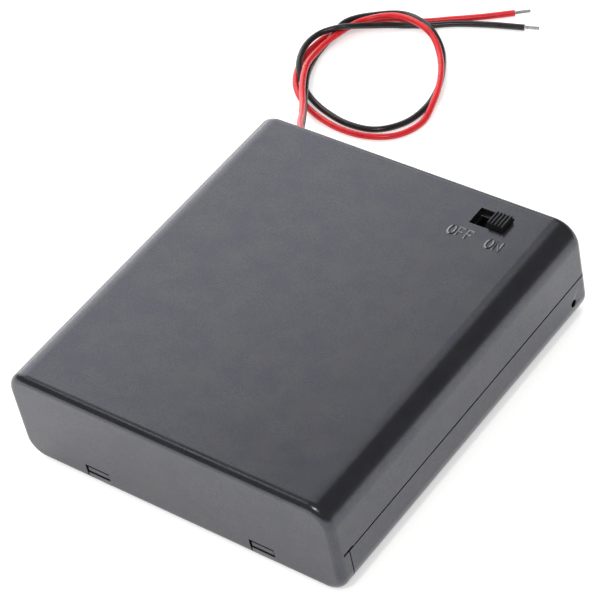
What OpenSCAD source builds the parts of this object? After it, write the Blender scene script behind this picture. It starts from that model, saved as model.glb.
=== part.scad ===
// Enclosed holder for four AA cells side by side, with a slide switch and two free leads.
// Frame: X across the cells, +Y to the end that the leads leave, +Z to the face with the switch.
// The holder lies on its cover, whose underside is z = 0. The cell bays are numbered from -X to +X.

/* [Case] */
// Overall width across the four cells
case_w = 66; // [60:0.5:74]
// Overall height without the switch knob
case_h = 19.4; // [18.6:0.2:24]
// Radius of the two long upper edges
top_r = 4.5; // [3:0.25:6]
// Radius of the two long lower edges
bottom_r = 4; // [3:0.25:6]
// Radius of the rounding round both end faces
end_r = 1.5; // [0.6:0.1:1.8]
// Thickness of the side walls, back wall and top plate
wall = 1.6; // [1.2:0.1:2.2]
// Thickness of the front end wall
front_wall = 1.8; // [1.4:0.1:2.4]
// Height of the joint line between cover and housing
parting_z = 8.4; // [7:0.1:9.6]
// Width of the visible gap on the joint line
parting_gap = 0.3; // [0.2:0.05:0.5]
// Clearance between the cover and what it closes on
fit = 0.2; // [0.15:0.05:0.3]

/* [Cell bays] */
// Length of each bay between its end walls
bay_l = 55.5; // [54:0.1:58]
// Thickness of the dividers between the bays
divider_t = 1; // [0.8:0.1:1.4]
// Height above the underside at which the dividers end
divider_z = 6.5; // [5:0.5:8]
// Thickness of the wall between the bays and the switch compartment
end_wall = 1.4; // [1:0.1:2]
// Length along the case of the switch compartment
room_l = 11.1; // [9:0.1:14]
// Length of the arms of the moulded plus and minus marks
mark_l = 3; // [2:0.5:4]

/* [Cover catch] */
// Distance of each hook window from the middle
window_x = 17; // [12:0.5:22]
// Width of each hook window
window_w = 5; // [4:0.1:6]
// Height of the bar under each hook window
window_z = 1.9; // [1.6:0.1:2.2]
// Height of each hook window
window_h = 2; // [1.9:0.05:2.4]
// Depth by which the bar under a window lies back
bar_recess = 0.15; // [0.1:0.05:0.3]
// Thickness of each hook of the cover
hook_t = 0.9; // [0.6:0.1:1]
// Length along the side of the corner posts of the front wall
post_l = 2.85; // [2.4:0.05:4]
// Distance of each catch hole from the back end
catch_y = 4.5; // [3.8:0.1:6]
// Height of the catch holes
catch_z = 4.65; // [4.4:0.05:5]
// Diameter of the catch holes in the cover
catch_d = 1.4; // [1:0.1:2]
// Length along the case of the catch legs
leg_l = 5; // [3:0.5:6]
// Thickness of the catch legs
leg_t = 1.2; // [1:0.1:1.6]

/* [Switch] */
// Distance of the switch from the side of the case on +X
switch_side = 13.25; // [11.5:0.25:24]
// Distance of the switch from the back end
switch_back = 6.05; // [5.4:0.05:6.6]
// Length of the slot in the top plate
slot_l = 6.6; // [6:0.1:7.4]
// Width of the slot in the top plate
slot_w = 3.9; // [3.6:0.1:4.4]
// Length of the knob along its travel
knob_l = 3; // [2.6:0.1:3.4]
// Width of the knob
knob_w = 3.1; // [2.6:0.1:3.3]
// Height of the knob above the top face
knob_h = 1.1; // [0.8:0.1:2]
// Number of grip ridges on the knob
ridges = 5; // [3:1:6]
// Length of the switch body
switch_l = 10; // [9.6:0.1:11]
// Width of the switch body
switch_w = 6; // [5.6:0.1:6.4]
// Height of the switch body
switch_h = 4.2; // [4:0.1:5]
// Distance between the switch terminals
terminal_pitch = 3; // [2.6:0.1:3.2]
// Length of the switch terminals below the switch body
terminal_l = 3; // [2:0.5:4]

/* [Contacts] */
// Thickness of the contact plates
plate_t = 0.4; // [0.3:0.05:0.5]
// Height of the contact plates
plate_h = 10.8; // [9:0.2:11.6]
// Width of a contact plate in one bay
plate_w = 12.4; // [11:0.2:13]
// Diameter of the raised contact dimple
dimple_d = 5; // [4:0.5:6]
// Height of the raised contact dimple
dimple_h = 0.8; // [0.5:0.1:1.2]
// Diameter of the spring wire
spring_wire = 0.8; // [0.6:0.1:1]
// Outer diameter of the springs at the plate
spring_d = 9; // [8:0.2:10]
// Outer diameter of the springs at the tip
spring_tip_d = 5.4; // [4:0.2:6]
// Free length of the springs
spring_l = 8; // [6:0.5:9]
// Turns of each spring
spring_turns = 4; // [3:1:5]

/* [Leads] */
// Diameter of the insulated leads
lead_d = 1.2; // [1:0.05:1.3]
// Diameter of the tinned ends
tip_d = 0.8; // [0.6:0.05:1]
// Length of the tinned ends
tip_l = 3; // [2:0.5:6]
// Diameter of the hole that both leads leave through
lead_hole_d = 3.2; // [2.8:0.1:4]
// Distance of the lead hole from the middle of the width
lead_hole_x = 26.5; // [22:0.5:27]
// Height of the lead hole
lead_hole_z = 11.25; // [10.5:0.05:13]

/* [Hidden] */
$fn = 48;
cells = 4;
case_l = front_wall + bay_l + end_wall + room_l + wall;
front_y = -case_l / 2;
back_y = case_l / 2;
bay_front_y = front_y + front_wall;
bay_back_y = bay_front_y + bay_l;
room_front_y = bay_back_y + end_wall;
room_back_y = back_y - wall;
inner_w = case_w - 2 * wall;
ceiling_z = case_h - wall;
bay_w = (inner_w - (cells - 1) * divider_t) / cells;
bay_pitch = bay_w + divider_t;
lower_top_z = parting_z - parting_gap / 2;
upper_bottom_z = parting_z + parting_gap / 2;
post_back_y = front_y + post_l;
bite = 0.2;
floor_t = wall;
cell_z = (floor_t + ceiling_z) / 2;
plate_low = cell_z - plate_h / 2;
plate_high = cell_z + plate_h / 2;
snug = 0.1;
touch = 0.02;
retainer_lap = 0.8;
retainer_t = 0.6;
retainer_w = (bay_w - plate_w) / 2 + retainer_lap;
mark_w = 0.7;
mark_y = 13;
mark_h = 0.3;
cover_rib_w = 1;
cover_rib_h = 0.6;

window_top = window_z + window_h;
hook_low = window_z + 0.45;
hook_top = hook_low + hook_t;
hook_w = window_w - 3 * fit;
hook_reach = min(front_wall - fit, sqrt(pow(window_top - fit, 2) - pow(hook_top, 2)));
hook_root = 1.4;
groove_depth = 0.35;
groove_h = parting_gap + 0.2;
leg_y = back_y - catch_y;
leg_x = inner_w / 2 - fit - leg_t;
leg_low = catch_z - catch_d / 2 - 0.6;
leg_root_h = 3;

switch_x = case_w / 2 - switch_side;
switch_y = back_y - switch_back;
switch_low = ceiling_z - switch_h;
shell_t = 0.4;
base_t = 1;
base_high = switch_low + base_t;
head_t = 0.3;
head_l = 1.8;
head_w = 2;
pin_w = 1.2;
pin_t = 0.4;
knob_gap = 0.15;
knob_top = case_h + knob_h;
travel = slot_l - knob_l - 2 * snug;
knob_x = switch_x + travel / 2;
flange_l = switch_l - 2 * shell_t - travel - 2 * knob_gap;
flange_w = switch_w - 2 * shell_t - 2 * snug;
flange_t = 1.2;
flange_high = ceiling_z - shell_t - snug;
ridge_h = 0.25;
ridge_w = 0.3;
ridge_pitch = (knob_l - ridge_w) / (ridges - 1);
wiper_t = 0.3;
wiper_foot_d = 0.8;
clip_t = 1.2;
clip_l = 5;
clip_nib = 0.5;
clip_nib_h = 0.8;

lug_w = 2.4;
lug_l = 2.2;
lug_z = plate_high - plate_t;
sides = 8;
coil_steps = 14;
joint_drop = 2.2;
joint_gap = 0.15;

// Centre lines of the insulated leads, from the joint inside the case to the tinned end.
jumper_pin = [switch_x + terminal_pitch, switch_y - pin_t / 2 - joint_gap, switch_low - joint_drop];
jumper_lug = [bay_x(cells), room_front_y + lug_l / 2, lug_z - touch];
jumper_path = [
    jumper_pin, jumper_pin + [0, -1.6, -0.2],
    [(jumper_pin.x + jumper_lug.x) / 2, jumper_lug.y + 1.4, jumper_pin.z + 0.1],
    jumper_lug + [0, 0.1, -1.5], jumper_lug
];
red_pin = [switch_x, switch_y + pin_t / 2 + joint_gap, switch_low - joint_drop];
red_path = [
    red_pin, red_pin + [0, 1, -0.1], red_pin + [-1.2, 1.8, -0.2], red_pin + [-4.7, 2, -0.1],
    [-5, 32, 11.7], [-22, 32.1, 11.9], [-25.6, 33.2, 11.9],
    [-26.5, 35, 11.9], [-29.5, 40.5, 11], [-33, 44.5, 9], [-36.5, 49, 6.2], [-40.2, 53.8, 4.2],
    [-44, 58.8, 3.5], [-46.9, 64, 2.9], [-48.3, 69.5, 1.9], [-47.6, 75, 1.9], [-45.5, 80.3, 1.9],
    [-41, 84, 1.9], [-35.5, 83.9, 2.1], [-30, 81.5, 2.1], [-25.5, 77.2, 1.9], [-22.1, 72.3, 1.9],
    [-19.9, 67, 1.5], [-19.4, 61.5, 0.6], [-21.5, 57, 0.6], [-26, 54.4, 0.6], [-31.5, 53.7, 0.6],
    [-37, 54.5, 0.6], [-42.5, 56.6, 0.6], [-47.2, 60.2, 0.6], [-50, 65, 0.6], [-50.9, 70.5, 0.6],
    [-49.8, 76, 0.6], [-46.3, 80.9, 0.6], [-41.5, 84.4, 0.6], [-36, 85.9, 0.6], [-31, 88.6, 0.6],
    [-26, 92.1, 0.6], [-21, 95.6, 0.6]
];
black_lug = [bay_x(1), room_front_y + lug_l + touch, lug_z + plate_t / 2];
black_path = [
    black_lug, black_lug + [0, 2.2, -0.4], [-25.2, 31.4, 10.7], [-26.5, 35, 10.6], [-29.5, 40.5, 9.6],
    [-33, 44.5, 7.5], [-36.5, 49, 4.8], [-40, 53.6, 2.8], [-43.4, 58.5, 2.2], [-46, 63, 1.7],
    [-48.2, 68.2, 0.6], [-49, 73.5, 0.9], [-48.1, 78.4, 2.2], [-45.5, 83.6, 1.5], [-40.5, 86.3, 1.2],
    [-36, 86.2, 2], [-32.7, 85, 1.9], [-28, 81.2, 0.7], [-24.4, 76, 0.6], [-22, 70.8, 0.6],
    [-21.1, 65.5, 0.6], [-22.2, 60.4, 0.6], [-26, 56.5, 0.6], [-31.5, 55.5, 0.6], [-37, 56.4, 0.6],
    [-42, 58.3, 0.6], [-46.2, 61.5, 0.6], [-49.3, 66, 1.8], [-51.1, 70.5, 2.1], [-50.8, 73.8, 2.1],
    [-48.8, 76, 3.3], [-46, 77.3, 3.3], [-43.8, 80, 1.8], [-41, 82.4, 0.7], [-37.5, 83.9, 0.6],
    [-34.3, 85, 0.6], [-29.5, 87.8, 0.6], [-23.5, 90.6, 0.6], [-17, 92.7, 0.6]
];

// Position of bay number 1 to 4 on X.
function bay_x(bay) = (bay - (cells + 1) / 2) * bay_pitch;
function unit(v) = v / norm(v);
// Direction of a path at point i, halfway between its two stretches.
function heading(p, i) =
    i == 0 ? unit(p[1] - p[0])
    : i == len(p) - 1 ? unit(p[i] - p[i - 1])
    : unit(unit(p[i + 1] - p[i]) + unit(p[i] - p[i - 1]));
// Corners of the ring round point i of a path. No stretch of the path runs along up.
function ring(p, i, d, up) =
    let (t = heading(p, i), u = unit(cross(up, t)), v = cross(t, u))
    [for (k = [0:sides - 1]) p[i] + d / 2 * (cos(360 * k / sides) * u + sin(360 * k / sides) * v)];
// Centre line of a conical spring that stands on the origin and points up, with flat end turns.
function coil_path() =
    let (n = spring_turns * coil_steps)
    [for (i = [0:n])
        let (
            turn = 360 * i / coil_steps,
            r = (spring_d + (spring_tip_d - spring_d) * i / n - spring_wire) / 2,
            rise = min(1, max(0, (i / n - 0.18) / 0.7))
        )
        [r * cos(turn), r * sin(turn), spring_wire / 2 + (spring_l - spring_wire) * rise]];

// Round wire swept along the points of a path.
module wire(path, d, up = [0, 0, 1]) {
    n = len(path);
    corners = [for (i = [0:n - 1]) for (c = ring(path, i, d, up)) c];
    skin = [
        for (i = [0:n - 2]) for (k = [0:sides - 1])
            let (m = (k + 1) % sides)
            [i * sides + k, (i + 1) * sides + k, (i + 1) * sides + m, i * sides + m]
    ];
    first = [for (k = [0:sides - 1]) k];
    last = [for (k = [sides - 1:-1:0]) (n - 1) * sides + k];
    polyhedron(points = corners, faces = concat(skin, [first], [last]));
}

// Box from one corner to the opposite one.
module block(low, high) {
    translate(low) cube(high - low);
}

// Outline with its lower side on the X axis, rounded below by r_low and above by r_high.
module rounded(w, h, r_low, r_high) {
    translate([-w / 2, r_low]) square([w, h - r_low - r_high]);
    translate([r_low - w / 2, 0]) square([w - 2 * r_low, r_low]);
    translate([r_high - w / 2, h - r_high]) square([w - 2 * r_high, r_high]);
    for (side = [-1, 1]) {
        translate([side * (w / 2 - r_low), r_low]) circle(r_low);
        translate([side * (w / 2 - r_high), h - r_high]) circle(r_high);
    }
}

// Solid with an outline in the XZ plane, from y0 to y1.
module along_y(y0, y1) {
    translate([0, y1, 0]) rotate([90, 0, 0]) linear_extrude(y1 - y0) children();
}

// Quarter disc of the end rounding, with its centre at x.
module end_profile(x) {
    translate([x, 0]) intersection() {
        circle(end_r);
        square(end_r);
    }
}

// Rounding that runs round an end face, from y = 0 to y = -end_r.
module end_rounding() {
    rotate([90, 0, 0]) for (side = [-1, 1]) scale([side, 1, 1]) {
        translate([case_w / 2 - top_r, case_h - top_r, 0])
            rotate_extrude(angle = 90) end_profile(top_r - end_r);
        translate([case_w / 2 - bottom_r, bottom_r, 0]) rotate([0, 0, -90])
            rotate_extrude(angle = 90) end_profile(bottom_r - end_r);
        translate([0, case_h - top_r, 0]) rotate([90, 0, 0])
            linear_extrude(case_h - top_r - bottom_r) end_profile(case_w / 2 - end_r);
        rotate([90, 0, 90]) linear_extrude(case_w / 2 - top_r) end_profile(case_h - end_r);
        scale([1, -1, 1]) rotate([90, 0, 90])
            linear_extrude(case_w / 2 - bottom_r) end_profile(-end_r);
    }
}

// Outer form of the closed case.
module case_form() {
    along_y(front_y + end_r, back_y - end_r) rounded(case_w, case_h, bottom_r, top_r);
    translate([0, 0, end_r]) along_y(front_y, back_y)
        rounded(case_w - 2 * end_r, case_h - 2 * end_r, bottom_r - end_r, top_r - end_r);
    translate([0, front_y + end_r, 0]) end_rounding();
    translate([0, back_y - end_r, 0]) scale([1, -1, 1]) end_rounding();
}

// Inner space of the closed case from y0 to y1, larger all round by grow.
module inner_form(y0, y1, grow = 0) {
    translate([0, 0, floor_t - grow]) along_y(y0, y1) rounded(
        inner_w + 2 * grow, ceiling_z - floor_t + 2 * grow, bottom_r - wall + grow, top_r - wall + grow
    );
}

// Box that holds a contact plate over bays a to b, with extra room all round.
module plate_body(a, b, back, room = 0) {
    y = back ? bay_back_y - plate_t - room : bay_front_y - room;
    block(
        [bay_x(a) - plate_w / 2 - room, y, plate_low - room],
        [bay_x(b) + plate_w / 2 + room, y + plate_t + 2 * room, plate_high + room]
    );
}

// Lug of a contact plate that passes into the switch compartment.
module lug(bay, room = 0) {
    block(
        [bay_x(bay) - lug_w / 2 - room, bay_back_y - plate_t, lug_z - room],
        [bay_x(bay) + lug_w / 2 + room, room_front_y + lug_l, lug_z + plate_t + room]
    );
}

// Raised dimple of a contact plate, pointing into the bay.
module dimple(bay, back) {
    y = back ? bay_back_y - plate_t : bay_front_y + plate_t;
    translate([bay_x(bay), y, cell_z]) rotate([back ? 90 : -90, 0, 0])
        cylinder(h = dimple_h, d1 = dimple_d, d2 = dimple_d * 0.6);
}

// Spring that stands on the contact plate at one end of a bay.
module spring(bay, back) {
    y = back ? bay_back_y - plate_t - touch : bay_front_y + plate_t + touch;
    color("silver") translate([bay_x(bay), y, cell_z]) rotate([back ? 90 : -90, 0, 0])
        wire(coil_path(), spring_wire);
}

// Grooves that hold the two sides of the contact plate at one end of a bay.
module retainers(bay, back) {
    depth = plate_t + snug + retainer_t;
    y = back ? bay_back_y - depth : bay_front_y - bite;
    for (side = [-1, 1]) {
        x = bay_x(bay) + side * (bay_w / 2 - retainer_w / 2);
        translate([x - retainer_w / 2 - snug, y, plate_low])
            cube([retainer_w + 2 * snug, depth + bite, plate_h]);
    }
}

// Plus or minus sign in relief under the top plate.
module mark(x, y, plus) {
    z = ceiling_z - mark_h;
    block([x - mark_w / 2, y - mark_l / 2, z], [x + mark_w / 2, y + mark_l / 2, ceiling_z + bite]);
    if (plus) block([x - mark_l / 2, y - mark_w / 2, z], [x + mark_l / 2, y + mark_w / 2, ceiling_z + bite]);
}

// Clips under the top plate that grip the two ends of the switch.
module switch_clips() {
    low = switch_low - clip_nib_h;
    for (side = [-1, 1]) translate([switch_x, switch_y, 0]) scale([side, 1, 1]) {
        x = switch_l / 2 + snug / 2;
        block([x, -clip_l / 2, low], [x + clip_t, clip_l / 2, ceiling_z + bite]);
        block([x - clip_nib, -clip_l / 2, low], [x + bite, clip_l / 2, switch_low - snug / 2]);
    }
}

// Leg inside each side wall whose pip sits behind the catch hole of the cover.
module catch_leg(side) {
    pip = fit - snug / 2;
    scale([side, 1, 1]) {
        block(
            [leg_x, leg_y - leg_l / 2, leg_low],
            [leg_x + leg_t, leg_y + leg_l / 2, upper_bottom_z + leg_root_h]
        );
        block(
            [leg_x, leg_y - leg_l / 2, upper_bottom_z],
            [inner_w / 2 + bite, leg_y + leg_l / 2, upper_bottom_z + leg_root_h]
        );
        translate([leg_x + leg_t - bite, leg_y, catch_z]) rotate([0, 90, 0])
            cylinder(h = pip + bite, d = catch_d - 2 * snug);
    }
}

module housing() {
    color([0.16, 0.16, 0.17]) difference() {
        union() {
            difference() {
                case_form();
                inner_form(bay_front_y, room_back_y);
                block([-case_w, post_back_y, -1], [case_w, back_y + 1, upper_bottom_z]);
                block([-inner_w / 2, bay_front_y, -1], [inner_w / 2, back_y, parting_z]);
            }
            for (i = [1:cells - 1]) {
                x = bay_x(i) + bay_pitch / 2;
                block(
                    [x - divider_t / 2, bay_front_y - bite, divider_z],
                    [x + divider_t / 2, bay_back_y + bite, ceiling_z + bite]
                );
            }
            intersection() {
                inner_form(bay_back_y, room_front_y, bite);
                block([-inner_w / 2 - bite, bay_back_y, upper_bottom_z], [case_w / 2, room_front_y, case_h]);
            }
            block(
                [fit - inner_w / 2, bay_back_y, divider_z],
                [inner_w / 2 - fit, room_front_y, upper_bottom_z + bite]
            );
            intersection() {
                for (bay = [1:cells]) {
                    retainers(bay, false);
                    retainers(bay, true);
                }
                block([fit - inner_w / 2, front_y, 0], [inner_w / 2 - fit, back_y, case_h]);
            }
            for (bay = [1:cells]) {
                mark(bay_x(bay), bay_front_y + mark_y, bay % 2 == 1);
                mark(bay_x(bay), bay_back_y - mark_y, bay % 2 == 0);
            }
            switch_clips();
            catch_leg(-1);
            catch_leg(1);
        }
        for (side = [-1, 1]) {
            x = side * window_x;
            block(
                [x - window_w / 2, front_y - 1, window_z],
                [x + window_w / 2, bay_front_y + bite, window_top]
            );
            block([x - window_w / 2, front_y - 1, -1], [x + window_w / 2, front_y + bar_recess, window_z]);
            scale([side, 1, 1]) block(
                [case_w / 2 - groove_depth, front_y + end_r, lower_top_z],
                [case_w / 2 + 1, post_back_y + 1, lower_top_z + groove_h]
            );
        }
        plate_body(1, 2, false, snug);
        plate_body(3, 4, false, snug);
        plate_body(1, 1, true, snug);
        plate_body(2, 3, true, snug);
        plate_body(4, 4, true, snug);
        lug(1, snug);
        lug(4, snug);
        translate([switch_x - slot_l / 2, switch_y - slot_w / 2, ceiling_z - 1])
            cube([slot_l, slot_w, wall + 2]);
        translate([-lead_hole_x, room_back_y - 1, lead_hole_z]) rotate([-90, 0, 0])
            cylinder(h = wall + 2, d = lead_hole_d);
    }
}

module cover() {
    floor_front = bay_front_y + fit;
    side_front = post_back_y + fit;
    color([0.16, 0.16, 0.17]) difference() {
        union() {
            difference() {
                case_form();
                block([-case_w, front_y - 1, lower_top_z], [case_w, back_y + 1, case_h + 1]);
                block([-case_w, front_y - 1, -1], [case_w, side_front, case_h + 1]);
                inner_form(side_front - 1, room_back_y);
            }
            intersection() {
                block([fit - inner_w / 2, floor_front, 0], [inner_w / 2 - fit, side_front + bite, floor_t]);
                case_form();
            }
            for (y = [-0.25, 0.25]) block(
                [bottom_r - case_w / 2, y * bay_l - cover_rib_w / 2, floor_t - bite],
                [case_w / 2 - bottom_r, y * bay_l + cover_rib_w / 2, floor_t + cover_rib_h]
            );
            for (side = [-1, 1]) {
                x = side * window_x;
                block([x - hook_w / 2, floor_front, 0], [x + hook_w / 2, floor_front + hook_root, hook_top]);
                block(
                    [x - hook_w / 2, bay_front_y - hook_reach, hook_low],
                    [x + hook_w / 2, floor_front + bite, hook_top]
                );
            }
        }
        for (side = [-1, 1]) translate([side * (case_w / 2 - wall / 2), leg_y, catch_z]) rotate([0, 90, 0])
            cylinder(h = 2 * wall, d = catch_d, center = true);
    }
}

module switch_frame() {
    color("silver") translate([switch_x, switch_y, 0]) difference() {
        block([-switch_l / 2, -switch_w / 2, switch_low], [switch_l / 2, switch_w / 2, ceiling_z - touch]);
        block(
            [shell_t - switch_l / 2, shell_t - switch_w / 2, switch_low - 1],
            [switch_l / 2 - shell_t, switch_w / 2 - shell_t, ceiling_z - shell_t]
        );
        block(
            [-slot_l / 2, -knob_w / 2 - knob_gap, switch_low],
            [slot_l / 2, knob_w / 2 + knob_gap, ceiling_z + 1]
        );
    }
}

module switch_base() {
    l = switch_l - 2 * shell_t - snug;
    w = switch_w - 2 * shell_t - snug;
    color([0.12, 0.12, 0.12]) translate([switch_x, switch_y, 0]) difference() {
        block([-l / 2, -w / 2, switch_low], [l / 2, w / 2, base_high]);
        for (i = [-1:1]) translate([i * terminal_pitch, 0, switch_low])
            cube([pin_w + snug, pin_t + snug, 4 * base_t], center = true);
    }
}

module terminal(i) {
    color("gold") translate([switch_x + i * terminal_pitch, switch_y, 0]) {
        block([-head_l / 2, -head_w / 2, base_high + touch], [head_l / 2, head_w / 2, base_high + head_t]);
        block([-pin_w / 2, -pin_t / 2, switch_low - terminal_l], [pin_w / 2, pin_t / 2, base_high + head_t]);
    }
}

module switch_knob() {
    color([0.1, 0.1, 0.1]) translate([knob_x, switch_y, 0]) {
        block(
            [-flange_l / 2, -flange_w / 2, flange_high - flange_t],
            [flange_l / 2, flange_w / 2, flange_high]
        );
        block([-knob_l / 2, -knob_w / 2, flange_high - bite], [knob_l / 2, knob_w / 2, knob_top - ridge_h]);
        for (i = [0:ridges - 1])
            translate([i * ridge_pitch - knob_l / 2, -knob_w / 2, knob_top - ridge_h - bite])
                cube([ridge_w, knob_w, ridge_h + bite]);
    }
}

module switch_wiper() {
    high = flange_high - flange_t - touch;
    foot_low = base_high + head_t + snug;
    reach = terminal_pitch / 2 + wiper_foot_d;
    color("gold") translate([knob_x, switch_y, 0]) {
        block([-reach, -head_w / 2, high - wiper_t], [reach, head_w / 2, high]);
        for (side = [-1, 1]) translate([side * terminal_pitch / 2, 0, foot_low])
            cylinder(h = high - foot_low - wiper_t / 2, d = wiper_foot_d);
    }
}

module link_plate(a, b, back) {
    color("silver") {
        plate_body(a, b, back);
        dimple(a, back);
    }
}

module negative_plate() {
    color("silver") {
        plate_body(1, 1, true);
        lug(1);
    }
}

module positive_plate() {
    color("silver") {
        plate_body(4, 4, true);
        dimple(4, true);
        lug(4);
    }
}

module positive_jumper() {
    color("red") wire(jumper_path, lead_d, [1, 0, 0]);
}

module red_lead() {
    color("red") wire(red_path, lead_d);
}

module black_lead() {
    color([0.08, 0.08, 0.08]) wire(black_path, lead_d);
}

// Tinned end that carries on from the last point of a path.
module lead_tip(path) {
    end = path[len(path) - 1];
    along = heading(path, len(path) - 1);
    color("silver") wire([end + touch * along, end + tip_l * along], tip_d);
}

housing();
cover();
switch_frame();
switch_base();
terminal(-1);  // switch_terminal_1
terminal(0);  // switch_terminal_2
terminal(1);  // switch_terminal_3
switch_knob();
switch_wiper();
link_plate(1, 2, false);  // link_plate_12
link_plate(2, 3, true);  // link_plate_23
link_plate(3, 4, false);  // link_plate_34
negative_plate();
positive_plate();
spring(1, true);  // spring_1
spring(2, false);  // spring_2
spring(3, true);  // spring_3
spring(4, false);  // spring_4
positive_jumper();
red_lead();
black_lead();
lead_tip(red_path);  // red_lead_tip
lead_tip(black_path);  // black_lead_tip
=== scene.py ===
"""Looks of the enclosed AA cell holder: camera, leads, moulded plastic, metal, lettering and light."""
import math
import random

import bmesh
import bpy
from mathutils import Matrix, Quaternion, Vector


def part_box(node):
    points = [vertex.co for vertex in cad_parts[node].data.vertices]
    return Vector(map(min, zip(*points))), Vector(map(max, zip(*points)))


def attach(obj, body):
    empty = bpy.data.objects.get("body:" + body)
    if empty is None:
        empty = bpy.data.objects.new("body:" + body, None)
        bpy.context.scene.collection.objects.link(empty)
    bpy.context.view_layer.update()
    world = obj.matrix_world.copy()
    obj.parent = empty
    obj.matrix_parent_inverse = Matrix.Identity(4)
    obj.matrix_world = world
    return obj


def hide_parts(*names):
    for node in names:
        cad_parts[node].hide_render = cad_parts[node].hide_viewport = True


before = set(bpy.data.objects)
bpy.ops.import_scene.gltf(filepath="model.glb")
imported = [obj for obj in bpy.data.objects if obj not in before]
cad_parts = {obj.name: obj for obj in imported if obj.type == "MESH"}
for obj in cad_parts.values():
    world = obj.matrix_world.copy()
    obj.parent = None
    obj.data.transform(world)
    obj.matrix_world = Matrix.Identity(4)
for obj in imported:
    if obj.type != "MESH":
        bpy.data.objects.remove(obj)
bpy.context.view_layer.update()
MM = 0.001

# Camera: where it looks, from where, and how far it is rolled, in millimetres and degrees.
CAMERA_TARGET = (-2.23, 3.96, 14.1)
CAMERA_DISTANCE = 451.3
CAMERA_AZIMUTH = 45.34
CAMERA_ELEVATION = 43.45
CAMERA_ROLL = -13.15
CAMERA_LENS = 163.85
CAMERA_CLIP = 10

# Leads, in millimetres: the route of each from its joint inside to the back wall, and from there
# to the end of its insulation; and the jumper from the switch to the positive plate.
LEAD_D = 1.2
RED_INNER = [
    (19.75, 30, 11.4), (19.75, 31, 11.3), (18.55, 31.8, 11.2), (15.05, 32, 11.3), (-5, 32, 11.7),
    (-22, 32.1, 11.9), (-25.6, 33.2, 11.9), (-26.5, 35, 11.9),
]
RED_OUTER = [
    (-26.5, 35, 11.9), (-29.5, 40.5, 11), (-33, 44.5, 9), (-36.5, 49, 6.2), (-40.2, 53.8, 4.2),
    (-44, 58.8, 3.5), (-46.9, 64, 2.9), (-48.3, 69.5, 1.9), (-47.6, 75, 1.9), (-45.5, 80.3, 1.9),
    (-40.3, 83.3, 2.6), (-34.7, 83, 3), (-29.8, 81.2, 2.6), (-25.5, 77.2, 1.9), (-22.1, 72.1, 1.9),
    (-20.1, 67, 1.5), (-19.4, 61.5, 0.6), (-21.5, 57, 0.6), (-26, 54.4, 0.6), (-31.5, 53.7, 0.6),
    (-37, 54.5, 0.6), (-42.5, 56.6, 0.6), (-47.2, 60.2, 0.6), (-50, 65, 0.6), (-50.9, 70.5, 0.6),
    (-49.8, 76, 0.6), (-46.3, 80.9, 0.6), (-41.5, 84.4, 0.6), (-36.1, 86, 0.6), (-31.2, 88.9, 0.6),
    (-26, 92.1, 0.6), (-21, 95.6, 0.6),
]
BLACK_INNER = [(-23.925, 25.22, 14.9), (-23.925, 27.42, 14.5), (-25.2, 31.4, 10.7), (-26.5, 35, 10.6)]
BLACK_OUTER = [
    (-26.5, 35, 10.6), (-29.5, 40.5, 9.6), (-33, 44.5, 7.5), (-36.5, 49, 4.8), (-40, 53.6, 2.8),
    (-43.4, 58.5, 2.2), (-46.2, 62.9, 1.7), (-48.6, 68.2, 0.6), (-49.1, 73.6, 0.8),
    (-48.1, 78.4, 2.2), (-44.9, 82.9, 1.5), (-40, 85.6, 1.4), (-35.5, 84.9, 1.9),
    (-32.2, 83.7, 1.9), (-28.1, 81, 0.7), (-24.4, 76, 0.6), (-22, 70.8, 0.6), (-21.1, 65.5, 0.6),
    (-22.2, 60.4, 0.6), (-26, 56.5, 0.6), (-31.5, 55.5, 0.6), (-37, 56.4, 0.6), (-42, 58.3, 0.6),
    (-46.3, 61.2, 0.8), (-49.1, 64.2, 1.9), (-50.8, 67.6, 2), (-51.2, 70.5, 2.2),
    (-50.4, 73.1, 2.5), (-48.5, 74.9, 2.9), (-46.5, 76.1, 3.2), (-44.8, 77.5, 2.9),
    (-42.6, 79.8, 2), (-40.2, 82.2, 1.1), (-37.5, 84, 0.6), (-34.5, 85.3, 0.6),
    (-29.7, 88.1, 0.6), (-23.5, 90.6, 0.6), (-17, 92.7, 0.6),
]
JUMPER = [
    (22.75, 29.3, 11.4), (22.75, 27.7, 11.2), (23.34, 25.5, 11.5), (23.925, 24.2, 13.2),
    (23.925, 24.1, 14.68),
]

# Lettering, in millimetres: size, stroke and relief of a letter, and its strokes in a unit square.
LETTER_H = 2.1
LETTER_W = 1.1
LETTER_STROKE = 0.56
LETTER_RISE = 0.13
# How far a ridge leans back for each step that it leans right.
LETTER_LEAN = 0.5
# A flank is dark where its normal's x plus this share of its y is above zero, and else gets the paler
# plastic, a painted highlight for light falling on the front and left flanks.
LETTER_SHADE = 0.7
LETTERS = {
    "O": [[(0.5, 0), (0.12, 0.14), (0, 0.36), (0, 0.64), (0.12, 0.86), (0.5, 1),
           (0.88, 0.86), (1, 0.64), (1, 0.36), (0.88, 0.14), (0.5, 0)]],
    "F": [[(0, 0), (0, 1), (0.92, 1)], [(0, 0.53), (0.78, 0.53)]],
    "N": [[(0, 0), (0, 1), (1, 0), (1, 1)]],
}
# Object name, letters, left and base of the first letter and pitch, in millimetres.
LETTERING = [
    ("lettering_off", "OFF", 14.35, 23.95, 1.7),
    ("lettering_on", "ON", 21.85, 23.75, 1.6),
]

# Solder joints: name, place and three radii in millimetres, and seed.
SOLDER = [
    ("solder_black", (-23.9, 25.0, 15.0), (1.1, 1.0, 0.7), 1),
    ("solder_jumper", (23.9, 24.2, 14.9), (1.1, 1.0, 0.8), 2),
    ("solder_red", (19.75, 29.7, 11.0), (0.9, 0.7, 0.7), 3),
    ("solder_pin", (22.75, 29.6, 11.2), (0.9, 0.7, 0.7), 4),
]
SOLDER_WAVE_X = 0.05
SOLDER_WAVE_Y = 0.04
SOLDER_GRAIN = 0.01

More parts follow.
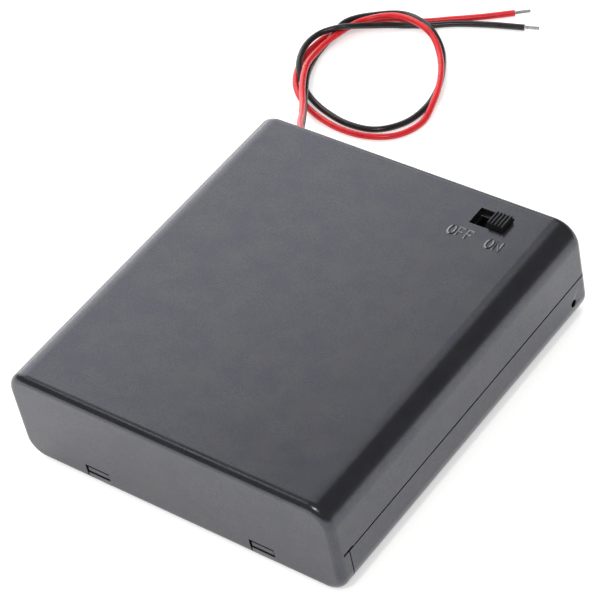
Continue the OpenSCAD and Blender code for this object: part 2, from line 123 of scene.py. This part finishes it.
# Rounding in metres of edges sharper than an angle in degrees, how much a face's size counts in
# its shading, and the reach of a weld in metres.
HOUSING_EASE = 0.00009
COVER_EASE = 0.00016
SMALL_EASE = 0.00006
EASE_ANGLE = 35
EASE_WEIGHT = 90
WELD = 0.000002

# Ramps run between these two values of a noise, and are flat beyond them.
NOISE_LOW = 0.3
NOISE_HIGH = 0.7

# Light: the floor's size and drop in metres, its colour, and its own glow where it is seen directly;
# the world's strength for diffuse light, for glosses and for the camera; and each lamp's name,
# place and size in metres, turn in degrees, power in watts and colour.
FLOOR_HALF = 1.5
FLOOR_DROP = 0.00002
FLOOR_COLOR = (0.88, 0.875, 0.865, 1)
FLOOR_GLOW = 0.42
WORLD_DIFFUSE = 1
WORLD_GLOSSY = 0.24
WORLD_SEEN = 1
LAMPS = [
    ("window", (-0.594, 0.343, 0.37), (0.9, 0.62), 12, 3.12, (1, 1, 1)),
    ("halo", (-0.18, 0.5, 0.85), (0.5, 0.3), 0, 0.45, (1, 1, 1)),
    ("low", (-0.7, 0.42, 0.035), (0.5, 0.07), 0, 0.45, (1, 1, 1)),
    ("spot", (0.12, -0.44, 0.64), (0.09, 0.09), 0, 1.4, (1, 0.99, 0.97)),
    ("strip", (-0.41, -0.24, 0.64), (0.16, 0.16), 0, 0.21, (1, 0.99, 0.97)),
]


def link(name, data):
    """New object with this data, in the scene."""
    obj = bpy.data.objects.new(name, data)
    bpy.context.collection.objects.link(obj)
    return obj


def make_camera():
    """Camera that turns round its target by azimuth and elevation, and then rolls."""
    az, el, roll = (math.radians(a) for a in (CAMERA_AZIMUTH, CAMERA_ELEVATION, CAMERA_ROLL))
    back = Vector((math.sin(az) * math.cos(el), -math.cos(az) * math.cos(el), math.sin(el)))
    level = Vector((math.cos(az), math.sin(az), 0))
    right = level * math.cos(roll) + back.cross(level) * math.sin(roll)
    up = back.cross(right)
    place = (Vector(CAMERA_TARGET) + back * CAMERA_DISTANCE) * MM
    data = bpy.data.cameras.new("camera")
    data.lens = CAMERA_LENS
    data.clip_start = CAMERA_CLIP * MM
    obj = link("camera", data)
    obj.matrix_world = Matrix((
        (right.x, up.x, back.x, place.x),
        (right.y, up.y, back.y, place.y),
        (right.z, up.z, back.z, place.z),
        (0, 0, 0, 1),
    ))
    bpy.context.scene.camera = obj


# ---------------------------------------------------------------- materials

def shader(name, color, roughness, **sockets):
    """Material with a Principled shader; returns it with its node tree and shader node."""
    mat = bpy.data.materials.new(name)
    mat.use_nodes = True
    bsdf = mat.node_tree.nodes["Principled BSDF"]
    bsdf.inputs["Base Color"].default_value = (*color, 1)
    bsdf.inputs["Roughness"].default_value = roughness
    for socket, value in sockets.items():
        bsdf.inputs[socket.replace("_", " ")].default_value = value
    return mat, mat.node_tree, bsdf


def noise(tree, scale, detail=3, stretch=(1, 1, 1), rough=0.5):
    """Noise in object space, scale in features per metre."""
    coord = tree.nodes.new("ShaderNodeTexCoord")
    mapping = tree.nodes.new("ShaderNodeMapping")
    mapping.inputs["Scale"].default_value = stretch
    tex = tree.nodes.new("ShaderNodeTexNoise")
    tex.inputs["Scale"].default_value = scale
    tex.inputs["Detail"].default_value = detail
    tex.inputs["Roughness"].default_value = rough
    tree.links.new(coord.outputs["Object"], mapping.inputs["Vector"])
    tree.links.new(mapping.outputs["Vector"], tex.inputs["Vector"])
    return tex.outputs["Fac"]


def spread(tree, value, low, high):
    """Noise mapped to low..high."""
    node = tree.nodes.new("ShaderNodeMapRange")
    node.inputs["From Min"].default_value = NOISE_LOW
    node.inputs["From Max"].default_value = NOISE_HIGH
    node.inputs["To Min"].default_value = low
    node.inputs["To Max"].default_value = high
    tree.links.new(value, node.inputs["Value"])
    return node.outputs["Result"]


def tint(tree, value, dark, light):
    """Noise mapped to a colour between two colours."""
    ramp = tree.nodes.new("ShaderNodeValToRGB")
    first, last = ramp.color_ramp.elements
    first.position = NOISE_LOW
    last.position = NOISE_HIGH
    first.color = (*dark, 1)
    last.color = (*light, 1)
    tree.links.new(value, ramp.inputs["Fac"])
    return ramp.outputs["Color"]


def bump(tree, height, strength, depth, before=None):
    """Bump of depth metres; before is the normal of a coarser bump."""
    node = tree.nodes.new("ShaderNodeBump")
    node.inputs["Strength"].default_value = strength
    node.inputs["Distance"].default_value = depth
    tree.links.new(height, node.inputs["Height"])
    if before is not None:
        tree.links.new(before, node.inputs["Normal"])
    return node.outputs["Normal"]


def combine(tree, operation, first, second):
    """Result of a Math node on an output and either another output or a number."""
    node = tree.nodes.new("ShaderNodeMath")
    node.operation = operation
    tree.links.new(first, node.inputs[0])
    if isinstance(second, bpy.types.NodeSocket):
        tree.links.new(second, node.inputs[1])
    else:
        node.inputs[1].default_value = second
    return node.outputs[0]


def case_plastic():
    """Black moulded plastic with a fine spark-eroded grain and faint handling marks."""
    mat, tree, bsdf = shader("case_plastic", (0.012, 0.012, 0.013), 0.26, Specular_IOR_Level=1.0)
    grain = noise(tree, scale=3200, detail=2)
    sink = noise(tree, scale=45, detail=1)
    marks = noise(tree, scale=160, detail=4)
    sheen = noise(tree, scale=200, detail=8, rough=0.75)
    color = tint(tree, marks, dark=(0.010, 0.010, 0.011), light=(0.014, 0.014, 0.0155))
    roughness = spread(tree, marks, low=0.24, high=0.28)
    speckled = combine(tree, "ADD", sheen, spread(tree, grain, low=-0.27, high=0.27))
    gloss = tint(tree, speckled, dark=(0.66, 0.69, 0.9), light=(0.93, 0.94, 1.0))
    coarse = bump(tree, sink, strength=0.2, depth=0.0001)
    normal = bump(tree, grain, strength=0.3, depth=0.00002, before=coarse)
    tree.links.new(color, bsdf.inputs["Base Color"])
    tree.links.new(roughness, bsdf.inputs["Roughness"])
    tree.links.new(gloss, bsdf.inputs["Specular Tint"])
    tree.links.new(normal, bsdf.inputs["Normal"])
    return mat


def letter_painted_highlight():
    """The case's plastic painted paler for the front and left flanks of the raised letters: a painted
    highlight that stands in for light falling on them.
    """
    mat, tree, bsdf = shader("letter_painted_highlight", (0.07, 0.07, 0.075), 0.26,
                             Specular_IOR_Level=1.0, Specular_Tint=(0.88, 0.89, 1, 1))
    # The paler colour is a painted highlight, varied at random in tone.
    highlight_tone = noise(tree, scale=900, detail=3)
    color = tint(tree, highlight_tone, dark=(0.12, 0.12, 0.128), light=(0.3, 0.3, 0.31))
    tree.links.new(color, bsdf.inputs["Base Color"])
    return mat


def knob_plastic():
    """Duller black plastic of the switch knob, finely grained."""
    mat, tree, bsdf = shader("knob_plastic", (0.012, 0.012, 0.013), 0.38,
                             Specular_Tint=(0.85, 0.88, 1, 1))
    fine = noise(tree, scale=2600, detail=2)
    tree.links.new(spread(tree, fine, low=0.33, high=0.45), bsdf.inputs["Roughness"])
    tree.links.new(bump(tree, fine, strength=0.2, depth=0.00002), bsdf.inputs["Normal"])
    return mat


def insulation(name, dark, light):
    """Soft glossy lead insulation with faint unevenness along it."""
    mat, tree, bsdf = shader(name, light, 0.3)
    uneven = noise(tree, scale=350, detail=3)
    ripple = noise(tree, scale=1500, detail=2)
    tree.links.new(tint(tree, uneven, dark, light), bsdf.inputs["Base Color"])
    tree.links.new(spread(tree, uneven, low=0.25, high=0.36), bsdf.inputs["Roughness"])
    tree.links.new(bump(tree, ripple, strength=0.15, depth=0.00003), bsdf.inputs["Normal"])
    return mat


def plated(name, dark, light, smooth, rough, scale, stretch=(1, 1, 1)):
    """Plated or rolled metal with a streaked finish, its roughness from smooth to rough."""
    mat, tree, bsdf = shader(name, light, rough, Metallic=1)
    streak = noise(tree, scale, detail=4, stretch=stretch)
    tree.links.new(tint(tree, streak, dark, light), bsdf.inputs["Base Color"])
    tree.links.new(spread(tree, streak, smooth, rough), bsdf.inputs["Roughness"])
    tree.links.new(bump(tree, streak, strength=0.15, depth=0.00002), bsdf.inputs["Normal"])
    return mat


def phenolic():
    """Dull black base of the switch."""
    mat, tree, bsdf = shader("phenolic", (0.02, 0.02, 0.02), 0.6)
    fibre = noise(tree, scale=900, detail=4, stretch=(1, 4, 1))
    color = tint(tree, fibre, dark=(0.015, 0.014, 0.014), light=(0.035, 0.034, 0.033))
    tree.links.new(color, bsdf.inputs["Base Color"])
    tree.links.new(bump(tree, fibre, strength=0.3, depth=0.00003), bsdf.inputs["Normal"])
    return mat


def dress(obj, mat):
    """Only this material on the object."""
    obj.data.materials.clear()
    obj.data.materials.append(mat)


# ---------------------------------------------------------------- surfaces

def smooth_faces(obj):
    """Shades every face of the object's mesh smooth."""
    for face in obj.data.polygons:
        face.use_smooth = True


def weld(obj):
    """Joins the vertices that neighbouring faces share."""
    obj.modifiers.new("weld", "WELD").merge_threshold = WELD


def ease_edges(obj, width):
    """Welds the mesh, rounds its sharp edges by width metres and shades it smooth."""
    weld(obj)
    bevel = obj.modifiers.new("ease", "BEVEL")
    bevel.width = width
    bevel.segments = 2
    bevel.limit_method = "ANGLE"
    bevel.angle_limit = math.radians(EASE_ANGLE)
    obj.modifiers.new("normals", "WEIGHTED_NORMAL").weight = EASE_WEIGHT
    smooth_faces(obj)


# ---------------------------------------------------------------- leads

def round_curve(name, points, diameter):
    """Smooth round wire through points in millimetres, level at its ends, highs and lows."""
    data = bpy.data.curves.new(name, "CURVE")
    data.dimensions = "3D"
    data.resolution_u = 8
    data.bevel_depth = diameter / 2 * MM
    data.bevel_resolution = 4
    data.use_fill_caps = True
    spline = data.splines.new("BEZIER")
    spline.bezier_points.add(len(points) - 1)
    places = [Vector(p) * MM for p in points]
    for i, (knot, at) in enumerate(zip(spline.bezier_points, places)):
        before = places[max(i - 1, 0)]
        after = places[min(i + 1, len(places) - 1)]
        along = (after - before).normalized()
        if (at.z - before.z) * (after.z - at.z) <= 0:
            along.z = 0
        knot.handle_left_type = knot.handle_right_type = "FREE"
        knot.co = at
        knot.handle_left = at - along * (at - before).length / 3
        knot.handle_right = at + along * (after - at).length / 3
    return link(name, data)


def insulated(name, points, mat, stands_for):
    """Insulated wire that rides on the case in place of a solid."""
    piece = round_curve(name, points, LEAD_D)
    dress(piece, mat)
    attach(piece, "case")
    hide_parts(stands_for)
    return piece


def make_leads(red, black, tinned):
    """Both leads, each as a run inside the case and a cord outside it, and the jumper."""
    for name, inner, outer, mat, slot in (
            ("red_lead", RED_INNER, RED_OUTER, red, "red_insulation"),
            ("black_lead", BLACK_INNER, BLACK_OUTER, black, "black_insulation")):
        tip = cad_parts[name + "_tip"]
        dress(tip, tinned)
        insulated(f"{name}_run", inner, mat, name)
        cord = insulated(f"{name}_cord", outer, mat, name)
    insulated("jumper", JUMPER, red, "positive_jumper")


# ---------------------------------------------------------------- lettering and solder

def lettering(name, text, left, base, pitch, highlight_flank, dark):
    """Raised letters on the top face: ridges leaning right and back, with a painted highlight in paler
    plastic on their front and left flanks.
    """
    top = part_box("housing")[1][2]
    data = bpy.data.curves.new(name, "CURVE")
    data.dimensions = "3D"
    data.bevel_depth = LETTER_STROKE / 2 * MM
    data.bevel_resolution = 0
    data.use_fill_caps = True
    for i, letter in enumerate(text):
        for stroke in LETTERS[letter]:
            spline = data.splines.new("POLY")
            spline.points.add(len(stroke) - 1)
            for knot, (u, v) in zip(spline.points, stroke):
                x = (left + i * pitch + u * LETTER_W) * MM
                y = (base + v * LETTER_H) * MM
                knot.co = (x, y, top, 1)
    curve = link(name + "_curve", data)
    evaluated = curve.evaluated_get(bpy.context.evaluated_depsgraph_get())
    mesh = bpy.data.meshes.new_from_object(evaluated)
    bpy.data.objects.remove(curve)
    for v in mesh.vertices:
        rise = (v.co.z - top) * 2 * LETTER_RISE / LETTER_STROKE
        v.co = (v.co.x + rise, v.co.y + rise * LETTER_LEAN, top + rise)
    obj = link(name, mesh)
    # The front and left flanks get the paler plastic as a painted highlight; the rest keep the case's
    # plastic.
    dress(obj, highlight_flank)
    mesh.materials.append(dark)
    for face in mesh.polygons:
        face.material_index = int(face.normal.x + face.normal.y * LETTER_SHADE > 0)
    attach(obj, "case")


def solder(name, at, size, mat, seed):
    """Uneven domed joint at a point given in millimetres, with its three radii."""
    rnd = random.Random(seed)
    mesh = bpy.data.meshes.new(name)
    form = bmesh.new()
    bmesh.ops.create_icosphere(form, subdivisions=3, radius=1)
    for v in form.verts:
        wave_x = SOLDER_WAVE_X * math.sin(3 * v.co.x + seed)
        wave_y = SOLDER_WAVE_Y * math.sin(4 * v.co.y)
        swell = 1 + wave_x + wave_y + rnd.uniform(-SOLDER_GRAIN, SOLDER_GRAIN)
        bead = Vector((v.co.x * size[0], v.co.y * size[1], v.co.z * size[2]))
        v.co = bead * swell * MM + Vector(at) * MM
    form.to_mesh(mesh)
    form.free()
    obj = link(name, mesh)
    smooth_faces(obj)
    dress(obj, mat)
    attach(obj, "case")


# ---------------------------------------------------------------- stage

def seen_rays(tree):
    """1 for rays that the camera, a gloss or glass sees directly, 0 for light that falls on things."""
    path = tree.nodes.new("ShaderNodeLightPath")
    seen = combine(tree, "MAXIMUM", path.outputs["Is Camera Ray"], path.outputs["Is Glossy Ray"])
    return combine(tree, "MAXIMUM", seen, path.outputs["Is Transmission Ray"])


def make_floor():
    """Floor that renders white where it is seen directly, but for the object's shadow."""
    mesh = bpy.data.meshes.new("floor")
    corners = [(-FLOOR_HALF, -FLOOR_HALF, 0), (FLOOR_HALF, -FLOOR_HALF, 0),
               (FLOOR_HALF, FLOOR_HALF, 0), (-FLOOR_HALF, FLOOR_HALF, 0)]
    mesh.from_pydata(corners, [], [(0, 1, 2, 3)])
    floor = link("floor", mesh)
    floor.location.z = -FLOOR_DROP
    mat = bpy.data.materials.new("floor")
    mat.use_nodes = True
    tree = mat.node_tree
    tree.nodes.clear()
    out = tree.nodes.new("ShaderNodeOutputMaterial")
    diffuse = tree.nodes.new("ShaderNodeBsdfDiffuse")
    diffuse.inputs["Color"].default_value = FLOOR_COLOR
    glow = tree.nodes.new("ShaderNodeEmission")
    both = tree.nodes.new("ShaderNodeAddShader")
    strength = combine(tree, "MULTIPLY", seen_rays(tree), FLOOR_GLOW)
    tree.links.new(strength, glow.inputs["Strength"])
    tree.links.new(diffuse.outputs[0], both.inputs[0])
    tree.links.new(glow.outputs[0], both.inputs[1])
    tree.links.new(both.outputs[0], out.inputs["Surface"])
    dress(floor, mat)


def make_world():
    """White world with a strength of its own for diffuse light, for glosses and for the camera."""
    world = bpy.data.worlds.new("studio")
    bpy.context.scene.world = world
    world.use_nodes = True
    tree = world.node_tree
    tree.nodes.clear()
    out = tree.nodes.new("ShaderNodeOutputWorld")
    sky = tree.nodes.new("ShaderNodeBackground")
    path = tree.nodes.new("ShaderNodeLightPath")
    glossy = tree.nodes.new("ShaderNodeMapRange")
    glossy.inputs["To Min"].default_value = WORLD_DIFFUSE
    glossy.inputs["To Max"].default_value = WORLD_GLOSSY
    camera = tree.nodes.new("ShaderNodeMapRange")
    camera.inputs["To Max"].default_value = WORLD_SEEN
    tree.links.new(path.outputs["Is Glossy Ray"], glossy.inputs["Value"])
    tree.links.new(glossy.outputs["Result"], camera.inputs["To Min"])
    tree.links.new(path.outputs["Is Camera Ray"], camera.inputs["Value"])
    tree.links.new(camera.outputs["Result"], sky.inputs["Strength"])
    tree.links.new(sky.outputs[0], out.inputs["Surface"])


def make_lamps():
    """Soft lamps that face the object, each turned about its own axis."""
    for name, place, size, turn, power, color in LAMPS:
        data = bpy.data.lights.new(name, "AREA")
        data.shape = "RECTANGLE"
        data.size, data.size_y = size
        data.energy = power
        data.color = color
        lamp = link(name, data)
        lamp.location = place
        facing = Vector(place).to_track_quat("Z", "Y")
        lamp.rotation_euler = (facing @ Quaternion((0, 0, 1), math.radians(turn))).to_euler()


# ---------------------------------------------------------------- the holder

make_camera()
red = insulation("red_insulation", dark=(0.62, 0.005, 0.012), light=(0.78, 0.012, 0.02))
black = insulation("black_insulation", dark=(0.010, 0.010, 0.011), light=(0.018, 0.018, 0.019))
tinned = plated("tinned", dark=(0.82, 0.83, 0.84), light=(0.96, 0.96, 0.97),
                smooth=0.25, rough=0.42, scale=2500)
make_leads(red, black, tinned)

plastic = case_plastic()
nickel = plated("nickel", dark=(0.6, 0.58, 0.54), light=(0.78, 0.76, 0.71),
                smooth=0.2, rough=0.35, scale=260, stretch=(1, 1, 9))
bright = plated("bright_steel", dark=(0.62, 0.61, 0.6), light=(0.82, 0.81, 0.79),
                smooth=0.18, rough=0.3, scale=300, stretch=(1, 1, 6))
spring_wire = plated("spring_wire", dark=(0.58, 0.57, 0.55), light=(0.78, 0.77, 0.75),
                     smooth=0.15, rough=0.28, scale=1200)
gilt = plated("terminal", dark=(0.62, 0.5, 0.27), light=(0.8, 0.68, 0.42),
              smooth=0.2, rough=0.36, scale=900)

plates = ["link_plate_12", "link_plate_23", "link_plate_34", "negative_plate", "positive_plate"]
terminals = ["switch_wiper", "switch_terminal_1", "switch_terminal_2", "switch_terminal_3"]
springs = ["spring_1", "spring_2", "spring_3", "spring_4"]
for names, mat in (
        (["housing", "cover"], plastic), (["switch_knob"], knob_plastic()),
        (["switch_frame"], bright), (["switch_base"], phenolic()),
        (terminals, gilt), (plates, nickel), (springs, spring_wire)):
    for name in names:
        dress(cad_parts[name], mat)

ease_edges(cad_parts["housing"], HOUSING_EASE)
ease_edges(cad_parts["cover"], COVER_EASE)
for name in ["switch_knob", *plates, "switch_frame", *terminals, "switch_base"]:
    ease_edges(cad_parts[name], SMALL_EASE)
for name in springs:
    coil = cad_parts[name]
    weld(coil)
    coil.modifiers.new("smooth", "SUBSURF").levels = 1
    smooth_faces(coil)

# Paler plastic painted on the letters' front and left flanks as a highlight.
letters = letter_painted_highlight()
for name, text, left, base, pitch in LETTERING:
    lettering(name, text, left, base, pitch, letters, plastic)
for name, at, size, seed in SOLDER:
    solder(name, at, size, tinned, seed)

make_floor()
make_world()
make_lamps()
bpy.context.scene.view_settings.view_transform = "Standard"
